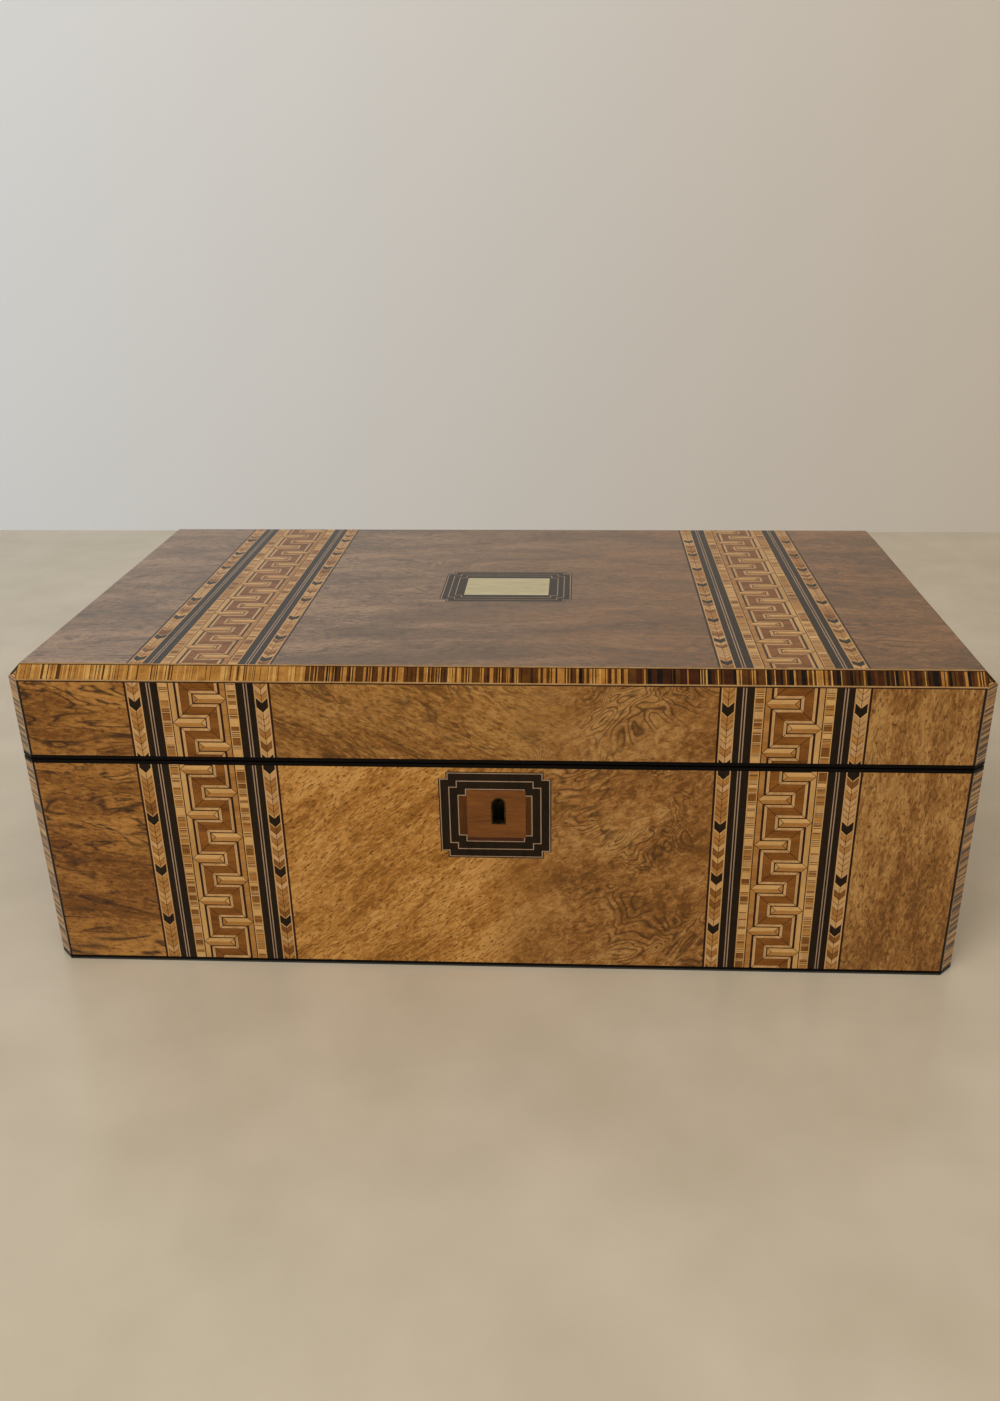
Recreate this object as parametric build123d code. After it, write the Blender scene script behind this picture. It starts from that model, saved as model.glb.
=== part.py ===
"""A veneered writing box with a sloping joint between lid and base.

The joint between lid and base falls from the front to half height at the back.
Opened through a half turn, the lid lies upside down behind the base and the two
rims make one long slope. Two leathered flaps fill that slope, and a pen tray
with two inkwells stands at its top, behind the lock. Millimetres, +Z up, the
lock side faces -Y, and the origin is the middle of the underside.
"""

import os
from math import atan, cos, degrees, sin

from build123d import *

# Outside of the box
width = 400.0
depth = 218.0
height = 142.0
cant = 6.0  # 45 degree cant along the upright corners and round the top
veneer = 1.0
board = 9.0
top_board = 7.0
bottom_board = 7.0

# Joint between lid and base
joint_front = 101.0  # height of the joint at the front face
joint_gap = 0.6
lipping = 1.6  # ebonised lipping on each rim

# Underside
baize = 0.8
bottom_edging = 1.4

# Inlaid key bands
band_centre = 120.0
edge_line = 1.4
feather = 5.4
ebony = 7.4  # two ebony strips with a double line between them
ladder = 4.4
key_bar = 2.2
key_core = 18.4  # width between the two bars
key_pitch = 21.6
finger_thick = 3.4
finger_gap = 7.6  # from a finger's end to the opposite bar
front_finger_height = 10.6  # lowest finger of the outer bar above the underside
top_finger_offset = 24.8  # first finger of the outer bar behind the front face

# Escutcheon on the front
frame_width = 47.0
frame_height = 41.0
frame_below_rim = 1.8
tablet_width = 24.6
tablet_height = 22.4
tablet_rise = 0.7  # the tablet stands a little above the frame's middle
frame_step = 3.2
keyhole_width = 4.7
keyhole_height = 11.3
keyhole_offset = 1.4  # the keyhole stands a little right of the middle
keyhole_centre = 79.0
liner_wall = 0.7
liner_depth = 2.0

# Plaque on the lid
plaque_width = 40.0
plaque_depth = 26.0
plaque_frame_width = 62.0
plaque_frame_depth = 47.0

# Lock
case_width = 58.0
case_height = 30.0
case_thick = 8.0
case_wall = 0.8
face_plate_width = 70.0
screw_beside_case = 1.1  # from the lock case's side to the middle of the screw beside it
face_plate_thick = 1.2
link_spacing = 34.0
link_width = 4.0  # from front to back
link_thick = 2.2
link_drop = 9.4  # from the joint down to a link's foot
link_offset = 6.8  # middle of a link behind the front face, at the joint
link_hole_width = 2.4
link_hole_height = 3.6
link_play = 0.6
bolt_drop = 6.3  # middle of the prongs below the joint
bolt_thick = 1.6
bolt_height = 2.2
bolt_throw = 5.0
prong_length = 5.2
bolt_bar = 3.6
key_pin_radius = 1.0

# Butt hinges
hinge_length = 52.0
hinge_centre = 118.0
knuckle_radius = 2.6
knuckle_count = 5
knuckle_play = 0.2
pin_radius = 1.2
pin_play = 0.05
leaf_width = 6.6
leaf_thick = 1.2
hinge_standoff = 0.3  # the pin's axis behind the back face
screw_radius = 0.9
screw_head_radius = 1.9
screw_head_depth = 0.9
screw_length = 7.0

# Writing flaps
flap_thick = 6.0
leather = 0.8
flap_sink = 0.5  # leather's face below the rim
flap_play = 0.5
flap_pivot_radius = 1.2
flap_pivot_length = 6.0
flap_pivot_bite = 4.0  # how far a pivot goes into the side board
notch_radius = 9.0
leather_border = 4.0
bearer = 5.0

# Pen section, behind the lock
pen_section = 58.0
divider = 5.0
cell_width = 42.0
partition = 4.0
tray_thick = 20.0
tray_top = 86.0
trough_radius = 30.0
trough_floor = 5.0
trough_land = 7.0
well_side = 35.0
well_height = 34.0
well_top = 77.0  # shoulder of the bottle
well_wall = 3.5
neck_radius = 12.0
mouth_radius = 9.0
neck_height = 3.0
collar_height = 2.2
collar_wall = 1.4
cap_radius = 14.2
cap_height = 5.2
cap_wall = 1.2
cap_play = 0.3
cap_pin_radius = 0.9
cap_lug = 5.0

# Values that follow from those above
half_w = width / 2
half_d = depth / 2
wall = veneer + board
inner_w = width - 2 * wall
inner_d = depth - 2 * wall
joint_back = height / 2
joint_rise = joint_front - joint_back
hinge_y = half_d + hinge_standoff
joint_slope = joint_rise / (depth + hinge_standoff)
slope_angle = degrees(atan(joint_slope))
lid_ceiling = height - veneer - top_board
base_floor = baize + bottom_board
veneer_foot = baize + bottom_edging
far = 2 * width


def joint_height(y):
    """Height of the middle of the joint at a distance from the middle of the box."""
    return joint_back + (hinge_y - y) * joint_slope


def block(x0, x1, y0, y1, z0, z1):
    """A box between two corners."""
    return Pos((x0 + x1) / 2, (y0 + y1) / 2, (z0 + z1) / 2) * Box(x1 - x0, y1 - y0, z1 - z0)


def across(points, x0, x1):
    """A prism across the box, from an outline in Y and Z."""
    return extrude(Plane.YZ.offset(x0) * make_face(Polyline(*points, close=True)), x1 - x0)


def upright(points, z0, z1):
    """A prism standing upright, from an outline in X and Y."""
    return extrude(Plane.XY.offset(z0) * make_face(Polyline(*points, close=True)), z1 - z0)


def layer(low, high):
    """A slanting layer between two heights above the joint's middle, right across the box."""
    y0, y1 = -far, far
    outline = [
        (y0, joint_height(y0) + low),
        (y1, joint_height(y1) + low),
        (y1, joint_height(y1) + high),
        (y0, joint_height(y0) + high),
    ]
    return across(outline, -far, far)


def half_space(shape, point, direction):
    """The part of a shape that lies past a plane, on the side it points to."""
    return shape.split(Plane(origin=point, z_dir=direction), keep=Keep.TOP)


def canted_block(inset, bottom):
    """The box's outer form, drawn in by an inset, with its upright and top edges canted."""
    form = block(
        inset - half_w, half_w - inset, inset - half_d, half_d - inset, bottom, height - inset
    )
    sharp = form.edges().filter_by(Axis.Z) + form.faces().sort_by(Axis.Z)[-1].edges()
    return chamfer(sharp, cant - inset)


lid_zone = layer(joint_gap / 2 + lipping, far)
base_zone = layer(-far, -joint_gap / 2 - lipping)
lid_lip_zone = layer(joint_gap / 2, joint_gap / 2 + lipping)
base_lip_zone = layer(-joint_gap / 2 - lipping, -joint_gap / 2)
outer_form = canted_block(0, baize)
carcass_form = canted_block(veneer, baize)
cavity = block(-inner_w / 2, inner_w / 2, -inner_d / 2, inner_d / 2, base_floor, lid_ceiling)
hollow_carcass = carcass_form - cavity
skin = outer_form - carcass_form

parts = {}


# Hinges: where their knuckles and leaves go, and the screws that hold them
def hinge_centres():
    return (-hinge_centre, hinge_centre)


def knuckle_room():
    """The round groove that the hinge knuckles turn in."""
    play = knuckle_radius + knuckle_play
    length = hinge_length + 2 * knuckle_play
    return [
        Pos(x, hinge_y, joint_back) * Rot(0, 90, 0) * Cylinder(play, length)
        for x in hinge_centres()
    ]


def leaf_outline(x, play=0.0):
    """The upright block that a hinge leaf is cut from."""
    reach = hinge_length / 2 + play
    return block(x - reach, x + reach, hinge_y - knuckle_radius - leaf_width, half_d, 0, height)


def leaf_room(side):
    """The recess for a leaf in a rim: side is 1 for the lid and -1 for the base."""
    low, high = sorted((side * joint_gap / 2, side * (joint_gap / 2 + leaf_thick)))
    return [leaf_outline(x) & layer(low, high) for x in hinge_centres()]


def screw(x, y, side, sink):
    """A countersunk screw driven into a rim, with its head flush at a depth of sink."""
    z = joint_height(y) + side * (joint_gap / 2 + sink)
    head = Cone(
        screw_radius, screw_head_radius, screw_head_depth, align=(Align.CENTER, Align.CENTER, Align.MAX)
    )
    shank = Cylinder(screw_radius, screw_length, align=(Align.CENTER, Align.CENTER, Align.MAX))
    flip = 180 if side > 0 else 0
    return Pos(x, y, z) * Rot(X=flip - slope_angle) * (head + shank)


hinge_screw_spots = [
    (x + s * hinge_length / 3.2, hinge_y - knuckle_radius - leaf_width * 0.55)
    for x in hinge_centres()
    for s in (-1, 0, 1)
]
lock_screw_spots = [(s * (case_width / 2 + screw_beside_case), -half_d + wall / 2) for s in (-1, 1)]


def screws(side):
    """All the screws that go into one rim, as separate solids."""
    return [screw(x, y, side, 0.05) for x, y in hinge_screw_spots + lock_screw_spots]


base_screws = screws(-1)
lid_screws = screws(1)


def cut(shape, tools):
    """A shape less each of the tools."""
    for tool in tools:
        shape = shape - tool
    return shape


# Lock, let into the front board from inside, with its face plate in the rim
case_y1 = -half_d + wall
case_y0 = case_y1 - case_thick
link_y = -half_d + link_offset
link_z = joint_height(link_y)
case_top = joint_height(case_y1) - joint_gap / 2 - face_plate_thick
case_bottom = case_top - case_height
link_centres = (-link_spacing / 2, link_spacing / 2)
bolt_y = link_y - bolt_drop * sin(atan(joint_slope))
bolt_z = link_z - bolt_drop * cos(atan(joint_slope))


def square_to_joint(shape, x):
    """A shape drawn about the joint's middle, set square to the joint at a link."""
    return Pos(x, link_y, link_z) * Rot(X=-slope_angle) * shape


def keyhole(grow, y0, y1):
    """The keyhole's prism: straight sides and a round head, wider all round by grow."""
    half = keyhole_width / 2 + grow
    foot = keyhole_centre - keyhole_height / 2 - grow
    head = keyhole_centre + keyhole_height / 2 + grow - half
    outline = make_face(
        Polyline((-half, head), (-half, foot), (half, foot), (half, head))
        + ThreePointArc((half, head), (0, head + half), (-half, head))
    )
    return Pos(keyhole_offset, y1, 0) * extrude(Plane.XZ * outline, y1 - y0)


lock_room = block(-case_width / 2, case_width / 2, case_y0, case_y1, case_bottom, height)
plate_zone = layer(-joint_gap / 2 - face_plate_thick, -joint_gap / 2)
plate_block = block(
    -face_plate_width / 2, face_plate_width / 2, case_y0, case_y1, 0, height
)
striker_zone = layer(joint_gap / 2, joint_gap / 2 + face_plate_thick)


def link_slots():
    """Slots that the striker's links drop through."""
    reach_x = link_thick / 2 + link_play
    reach_y = link_width / 2 + link_play
    slot = block(-reach_x, reach_x, -reach_y, reach_y, -link_drop, link_drop)
    return [square_to_joint(slot, x) for x in link_centres]


def make_lock():
    slots = link_slots()
    plate = cut(plate_block & plate_zone, slots + base_screws)
    case = lock_room & layer(-far, -joint_gap / 2 - face_plate_thick)
    room = block(
        case_wall - case_width / 2,
        case_width / 2 - case_wall,
        case_y0 + case_wall,
        case_y1 - case_wall,
        case_bottom + case_wall,
        case_top - case_wall,
    )
    case = cut(case - room, slots)
    case = case - keyhole(0, case_y0 - 1, case_y0 + 2 * case_wall)
    pin_z = keyhole_centre + keyhole_height / 2 - keyhole_width / 2
    pin = Pos(keyhole_offset, case_y1, pin_z) * Rot(90, 0, 0) * Cylinder(
        key_pin_radius, case_thick, align=(Align.CENTER, Align.CENTER, Align.MIN)
    )
    bar_top = bolt_z - bolt_height / 2 - (link_drop - bolt_drop - bolt_height / 2) - 0.6
    bar_foot = bar_top - bolt_bar
    guides = [
        block(x0, x1, case_y0 + case_wall, case_y1 - case_wall, case_bottom, bar_foot)
        for x0, x1 in ((-26, -16), (12, 20))
    ]
    for guide in guides:
        case = case + guide
    parts["lock_case"] = case + pin
    parts["lock_face_plate"] = plate

    y0, y1 = bolt_y - bolt_thick / 2, bolt_y + bolt_thick / 2
    top = bolt_z + bolt_height / 2
    tips = [x - link_thick / 2 - link_play for x in link_centres]
    bolt = block(tips[0] - prong_length - 3, tips[1] - prong_length, y0, y1, bar_foot, bar_top)
    for tip in tips:
        bolt += block(tip - prong_length - 3, tip - prong_length, y0, y1, bar_foot, top)
        bolt += block(tip - prong_length - 3, tip, y0, y1, top - bolt_height, top)
    parts["lock_bolt"] = bolt

    lever_y0, lever_y1 = y1 + 0.4, y1 + 1.4
    pivot_x = case_width / 2 - 6
    lever = block(-8, pivot_x + 2, lever_y0, lever_y1, bar_foot - 1.5, bar_foot + 1.5)
    lever += block(pivot_x - 2, pivot_x + 2, lever_y0, case_y1 - case_wall, bar_foot - 2, bar_foot + 2)
    parts["lock_lever"] = cut(lever, guides)

    striker = cut(plate_block & striker_zone, lid_screws)
    link = block(
        -link_thick / 2, link_thick / 2, -link_width / 2, link_width / 2,
        -link_drop, joint_gap / 2 + face_plate_thick / 2,
    )
    link -= Pos(0, 0, -bolt_drop) * Box(far, link_hole_width, link_hole_height)
    for x in link_centres:
        striker += square_to_joint(link, x)
    parts["lock_striker"] = striker


# Carcass
def carcass_boards(zone, lid):
    """Front, back and side boards of the lid or the base, lapped at the corners."""
    side = 1 if lid else -1
    walls = hollow_carcass & zone
    low, high = (0, lid_ceiling) if lid else (base_floor, height)
    walls = walls & block(-far, far, -far, far, low, high)
    grooves = knuckle_room()
    lap = wall - veneer - board / 2
    front_zone = block(-far, far, -far, -half_d + wall, 0, height)
    back_zone = block(-far, far, half_d - wall, far, 0, height)
    rebates = [
        block(s * (half_w - wall) - board / 2 * (s < 0), s * (half_w - wall) + board / 2 * (s > 0), y0, y1, 0, height)
        for s in (-1, 1)
        for y0, y1 in ((-half_d + wall - lap, -half_d + wall), (half_d - wall, half_d - wall + lap))
    ]
    front = cut(walls & front_zone, rebates)
    back = cut(cut(walls & back_zone, rebates), grooves)
    sides = cut(walls, [front_zone, back_zone])
    tongues = [walls & r for r in rebates]
    for tongue in tongues:
        sides = sides + tongue
    if not lid:
        front = front - (lock_room & walls)
        front = front - keyhole(0, -far, 0)
    tools = base_screws if side < 0 else lid_screws
    return cut(front, tools), cut(back, tools), sides


def flap_pivot_spot(side):
    """Y and Z of a flap's pivots: side is 1 for the lid's flap and -1 for the base's."""
    drop = joint_gap / 2 + flap_sink + leather + flap_thick / 2
    y = half_d - wall - flap_play - flap_thick / 2
    return y, joint_height(y) + side * drop / cos(atan(joint_slope))


def pivot_rods(side, radius, bite):
    """A rod at each end of a flap, reaching into the side board by bite."""
    y, z = flap_pivot_spot(side)
    ends = []
    for s in (-1, 1):
        x0 = s * (inner_w / 2 - flap_pivot_length)
        x1 = s * (inner_w / 2 + bite)
        rod = Rot(0, 90, 0) * Cylinder(radius, abs(x1 - x0))
        ends.append(Pos((x0 + x1) / 2, y, z) * rod)
    return ends


def make_carcass():
    for name, zone, lid in (("base", base_zone, False), ("lid", lid_zone, True)):
        front, back, sides = carcass_boards(zone, lid)
        side = 1 if lid else -1
        sides = cut(sides, pivot_rods(side, flap_pivot_radius + pin_play, flap_pivot_bite + 0.3))
        parts[f"{name}_front_board"] = front
        parts[f"{name}_back_board"] = back
        parts[f"{name}_side_boards"] = sides
    parts["base_bottom_board"] = carcass_form & block(-far, far, -far, far, baize, base_floor)
    parts["lid_top_board"] = carcass_form & block(-far, far, -far, far, lid_ceiling, height)
    parts["base_baize"] = upright(footprint(), 0, baize)

    ring = outer_form - cavity
    base_lip = cut(ring & base_lip_zone, knuckle_room() + leaf_room(-1) + base_screws)
    base_lip = base_lip - (plate_block & layer(-far, far))
    lid_lip = cut(ring & lid_lip_zone, knuckle_room() + leaf_room(1) + lid_screws)
    lid_lip = lid_lip - plate_block
    parts["base_rim_lipping"] = base_lip
    parts["lid_rim_lipping"] = lid_lip


def footprint():
    """The canted rectangle that the box stands on."""
    x, y = half_w, half_d
    return [
        (cant - x, -y), (x - cant, -y), (x, cant - y), (x, y - cant),
        (x - cant, y), (cant - x, y), (-x, y - cant), (-x, cant - y),
    ]


# Inlaid bands. A band lies between two outer lines and is laid out from its middle
half_key = key_core / 2 + key_bar
half_band = half_key + ladder + ebony + feather + edge_line


def comb_outline(start, end, first_finger, flip):
    """One bar of the key with its fingers, along a band from start to end.

    The bar stands on the flip side of the band's middle, and its fingers
    reach across to finger_gap from the opposite bar.
    """
    bar_out = half_key
    bar_in = key_core / 2
    tip = finger_gap - key_core / 2
    points = [(flip * bar_out, start), (flip * bar_in, start)]
    count = int((end - start) / key_pitch) + 2
    k0 = int((start - first_finger) / key_pitch) - 1
    for k in range(k0, k0 + count + 2):
        middle = first_finger + k * key_pitch
        low = middle - finger_thick / 2
        high = middle + finger_thick / 2
        if high <= start or low >= end:
            continue
        low, high = max(low, start), min(high, end)
        points += [(flip * bar_in, low), (flip * tip, low), (flip * tip, high), (flip * bar_in, high)]
    points += [(flip * bar_in, end), (flip * bar_out, end)]
    clean = [p for i, p in enumerate(points) if i == 0 or p != points[i - 1]]
    return clean


def rectangle(u0, u1, w0, w1):
    return [(u0, w0), (u1, w0), (u1, w1), (u0, w1)]


def band_pieces(start, end, first_finger, outer_side):
    """Outlines of one band: combs, meander and edge strips, across and along it.

    outer_side is 1 where the outer edge of the band lies towards +X.
    """
    outer_comb = comb_outline(start, end, first_finger, outer_side)
    inner_comb = comb_outline(start, end, first_finger + key_pitch / 2, -outer_side)
    strips = []
    edges = [half_key, half_key + ladder, half_key + ladder + ebony, half_band - edge_line, half_band]
    for s in (-1, 1):
        for near, beyond in zip(edges, edges[1:]):
            strips.append(rectangle(*sorted((s * near, s * beyond)), start, end))
    core = rectangle(-half_key, half_key, start, end)
    return outer_comb, inner_comb, core, strips


def on_front(points, x_middle, grow=0.0):
    """A veneer-thick prism on the front face."""
    face = Plane.XZ * make_face(Polyline(*points, close=True))
    return Pos(x_middle, -half_d + veneer + grow, 0) * extrude(face, veneer + grow)


def on_top(points, x_middle):
    """A veneer-thick prism on the top face."""
    face = make_face(Polyline(*points, close=True))
    return Pos(x_middle, 0, height - veneer) * extrude(face, veneer)


def make_bands():
    top_start, top_end = cant - half_d, half_d - cant
    found = {}
    for place, start, end, first, lay, zone in (
        ("base", veneer_foot, height, front_finger_height, on_front, base_zone),
        ("lid", 0, height - cant, front_finger_height, on_front, lid_zone),
        ("lid", top_start, top_end, top_finger_offset - half_d, on_top, None),
    ):
        for s in (-1, 1):
            outer, inner, core, strips = band_pieces(start, end, first, s)
            x = s * band_centre
            combs = [lay(outer, x), lay(inner, x)]
            meander = cut(lay(core, x), combs)
            strips = [lay(strip, x) for strip in strips]
            if zone is not None:
                combs = [c & zone for c in combs]
                meander = meander & zone
                strips = [t & zone for t in strips]
            found.setdefault(f"{place}_key_combs", []).extend(combs)
            found.setdefault(f"{place}_key_meanders", []).append(meander)
            found.setdefault(f"{place}_band_strips", []).extend(strips)
    parts.update(found)


# Walnut panels between the bands, and the bandings on the cants
def face_panels(y_side, bottom, top):
    """Front or back panels of veneer: three on the front, beside the bands, one on the back."""
    y0, y1 = sorted((y_side * half_d, y_side * (half_d - veneer)))
    whole = block(cant - half_w, half_w - cant, y0, y1, bottom, top)
    if y_side > 0:
        return whole
    gaps = [
        block(s * band_centre - half_band, s * band_centre + half_band, y0, y1, bottom, top)
        for s in (-1, 1)
    ]
    return cut(whole, gaps)


def stepped_frame(w, h, step):
    """Outline of a rectangle whose corners are stepped in once."""
    x, y = w / 2, h / 2
    corner = [(x, y - step), (x - step, y - step), (x - step, y)]
    points = corner + [(-a, b) for a, b in reversed(corner)]
    points += [(-a, -b) for a, b in corner] + [(a, -b) for a, b in reversed(corner)]
    return points


frame_middle = joint_height(-half_d) - joint_gap / 2 - lipping - frame_below_rim - frame_height / 2


def shifted(points, dx, dy):
    return [(x + dx, y + dy) for x, y in points]


def make_veneers():
    frame = on_front(shifted(stepped_frame(frame_width, frame_height, frame_step), 0, frame_middle), 0)
    tablet_spot = (keyhole_offset / 3, frame_middle + tablet_rise)
    tablet = on_front(shifted(rectangle(
        -tablet_width / 2, tablet_width / 2, -tablet_height / 2, tablet_height / 2), *tablet_spot), 0)
    liner_room = keyhole(liner_wall, -half_d, -half_d + liner_depth)
    parts["base_front_veneer"] = (face_panels(-1, veneer_foot, height) & base_zone) - frame
    parts["escutcheon_frame"] = frame - tablet
    parts["escutcheon_tablet"] = tablet - liner_room
    parts["keyhole_liner"] = liner_room - keyhole(0, -far, 0)
    parts["base_front_board"] = parts["base_front_board"] - liner_room
    parts["lid_front_veneer"] = face_panels(-1, 0, height - cant) & lid_zone

    back = face_panels(1, veneer_foot, height - cant)
    parts["base_back_veneer"] = cut(back & base_zone, knuckle_room())
    parts["lid_back_veneer"] = cut(back & lid_zone, knuckle_room())
    sides = skin & block(-far, far, cant - half_d, half_d - cant, veneer_foot, height - cant)
    parts["base_side_veneers"] = sides & base_zone
    parts["lid_side_veneers"] = sides & lid_zone

    top = block(cant - half_w, half_w - cant, cant - half_d, half_d - cant, height - veneer, height)
    for s in (-1, 1):
        x = s * band_centre
        top = top - block(x - half_band, x + half_band, -half_d, half_d, 0, height)
    plaque_frame = on_top(stepped_frame(plaque_frame_width, plaque_frame_depth, frame_step), 0)
    plaque = on_top(rectangle(-plaque_width / 2, plaque_width / 2, -plaque_depth / 2, plaque_depth / 2), 0)
    parts["lid_top_veneer"] = top - plaque_frame
    parts["plaque_frame"] = plaque_frame - plaque
    parts["plaque"] = plaque


def corner_point(sx, sy):
    """The point where three cants would meet if the box had sharp edges."""
    return (sx * half_w, sy * half_d, height)


def make_bandings():
    uprights = []
    edges = []
    for sx in (-1, 1):
        for sy in (-1, 1):
            x0, x1 = sorted((sx * half_w, sx * (half_w - cant)))
            y0, y1 = sorted((sy * half_d, sy * (half_d - cant)))
            strip = skin & block(x0, x1, y0, y1, veneer_foot, height)
            strip = half_space(strip, corner_point(sx, sy), (sx, 0, -1))
            strip = half_space(strip, corner_point(sx, sy), (0, sy, -1))
            uprights.append(strip)
    for sy in (-1, 1):
        y0, y1 = sorted((sy * half_d, sy * (half_d - cant)))
        strip = skin & block(-far, far, y0, y1, height - cant, height)
        for sx in (-1, 1):
            strip = half_space(strip, corner_point(sx, sy), (-sx, 0, 1))
            strip = half_space(strip, corner_point(sx, sy), (-sx, sy, 0))
        edges.append(strip)
    for sx in (-1, 1):
        x0, x1 = sorted((sx * half_w, sx * (half_w - cant)))
        strip = skin & block(x0, x1, -far, far, height - cant, height)
        for sy in (-1, 1):
            strip = half_space(strip, corner_point(sx, sy), (0, -sy, 1))
            strip = half_space(strip, corner_point(sx, sy), (sx, -sy, 0))
        edges.append(strip)
    parts["base_corner_bandings"] = [u & base_zone for u in uprights]
    parts["lid_corner_bandings"] = [u & lid_zone for u in uprights]
    parts["lid_edge_bandings"] = edges
    foot = skin & block(-far, far, -far, far, baize, veneer_foot)
    parts["base_bottom_edging"] = foot


def make_hinges():
    segment = hinge_length / knuckle_count
    for name, side, remainder, tools in (
        ("hinge_base_leaves", -1, 0, base_screws),
        ("hinge_lid_leaves", 1, 1, lid_screws),
    ):
        low, high = sorted((side * joint_gap / 2, side * (joint_gap / 2 + leaf_thick)))
        leaves = []
        for x in hinge_centres():
            plate = leaf_outline(x) & layer(low, high)
            trim = Pos(x, hinge_y, joint_back) * Rot(0, 90, 0) * Cylinder(
                knuckle_radius + knuckle_play, hinge_length + 1
            )
            leaf = plate - trim
            for k in range(remainder, knuckle_count, 2):
                start = x - hinge_length / 2 + k * segment + knuckle_play / 2
                length = segment - knuckle_play
                barrel = Pos(start + length / 2, hinge_y, joint_back) * Rot(0, 90, 0) * Cylinder(
                    knuckle_radius, length
                )
                tongue = block(
                    start, start + length, hinge_y - knuckle_radius - 1, hinge_y, 0, height
                ) & layer(low, high)
                leaf = leaf + (tongue + barrel)
            bore = Pos(x, hinge_y, joint_back) * Rot(0, 90, 0) * Cylinder(
                pin_radius + pin_play, hinge_length + 1
            )
            leaves.append(cut(leaf - bore, tools))
        parts[name] = leaves
    parts["hinge_pins"] = [
        Pos(x, hinge_y, joint_back) * Rot(0, 90, 0) * Cylinder(pin_radius, hinge_length)
        for x in hinge_centres()
    ]
    parts["base_screws"] = base_screws
    parts["lid_screws"] = lid_screws


# Flaps
pen_front = -half_d + wall
pen_back = pen_front + pen_section
flap_front = {-1: pen_back + flap_play, 1: -half_d + wall + flap_play}


def make_flap(name, side):
    """One writing flap: a board with a round hinge edge, its leather and its pivots."""
    pivot_y, pivot_z = flap_pivot_spot(side)
    front_y = flap_front[side]
    sink = joint_gap / 2 + flap_sink
    steep = 1 / cos(atan(joint_slope))
    near, beyond = side * (sink + leather), side * (sink + leather + flap_thick * steep)
    body = block(
        flap_play - inner_w / 2, inner_w / 2 - flap_play, front_y - (side > 0), pivot_y, 0, height
    ) & layer(*sorted((near, beyond)))
    if side > 0:
        edge_point = (0, front_y, joint_height(front_y))
        body = half_space(body, edge_point, (0, cos(atan(joint_slope)), -sin(atan(joint_slope))))
    edge = Pos(0, pivot_y, pivot_z) * Rot(0, 90, 0) * Cylinder(
        flap_thick / 2, inner_w - 2 * flap_play
    )
    notch = Pos(0, front_y, joint_height(front_y)) * Cylinder(notch_radius, height)
    flap = body + edge - notch
    rods = pivot_rods(side, flap_pivot_radius, flap_pivot_bite)
    border = leather_border
    cover = block(
        flap_play + border - inner_w / 2, inner_w / 2 - flap_play - border,
        front_y + border, pivot_y - border / 2, 0, height,
    ) & layer(*sorted((side * sink, near)))
    cover = cover - Pos(0, front_y, joint_height(front_y)) * Cylinder(notch_radius + border / 2, height)
    parts[f"{name}_flap_board"] = cut(flap, rods)
    parts[f"{name}_flap_leather"] = cover
    parts[f"{name}_flap_pivots"] = rods


def flap_underside(y, side):
    """Height of a flap's inner face at Y."""
    steep = 1 / cos(atan(joint_slope))
    return joint_height(y) + side * (joint_gap / 2 + flap_sink + leather + flap_thick * steep)


def make_bearers():
    """Battens on the side walls that the flaps rest on, and under the pen tray."""
    clear = 0.3
    for name, side, front_y in (("base", -1, pen_back + divider), ("lid", 1, -half_d + wall)):
        battens = []
        y1 = half_d - wall - flap_thick - 2
        for s in (-1, 1):
            x0, x1 = sorted((s * inner_w / 2, s * (inner_w / 2 - bearer)))
            near = flap_underside(0, side) - joint_height(0) + side * clear
            zone = layer(*sorted((near, near + side * bearer)))
            battens.append(block(x0, x1, front_y, y1, 0, height) & zone)
        parts[f"{name}_flap_bearers"] = battens


def make_pen_section():
    y0, y1 = pen_front, pen_back
    under_flap = layer(-far, flap_underside(0, -1) - joint_height(0) - 0.3)
    rail = block(-inner_w / 2, inner_w / 2, y1, y1 + divider, base_floor, height) & under_flap
    cells = inner_w / 2 - cell_width
    tray_x = cells - partition
    limit = joint_height(y1) - 6.0
    parts["pen_divider"] = rail
    parts["cell_partitions"] = [
        block(*sorted((s * cells, s * tray_x)), y0, y1, base_floor, limit) for s in (-1, 1)
    ]
    tray = block(-tray_x, tray_x, y0, y1, tray_top - tray_thick, tray_top)
    floor = tray_top - tray_thick + trough_floor
    trough_y = (y0 + y1) / 2
    half_span = (y1 - y0) / 2 - trough_land
    radius = trough_radius
    trough = Pos(0, trough_y, floor + radius) * Rot(0, 90, 0) * Cylinder(
        radius, 2 * (tray_x - trough_land)
    )
    trough = trough & block(-far, far, trough_y - half_span, trough_y + half_span, 0, height)
    parts["pen_tray"] = tray - trough
    parts["tray_bearers"] = [
        block(*sorted((s * tray_x, s * (tray_x - bearer))), y0, y1,
              tray_top - tray_thick - bearer, tray_top - tray_thick)
        for s in (-1, 1)
    ]
    make_inkwells(cells)


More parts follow.
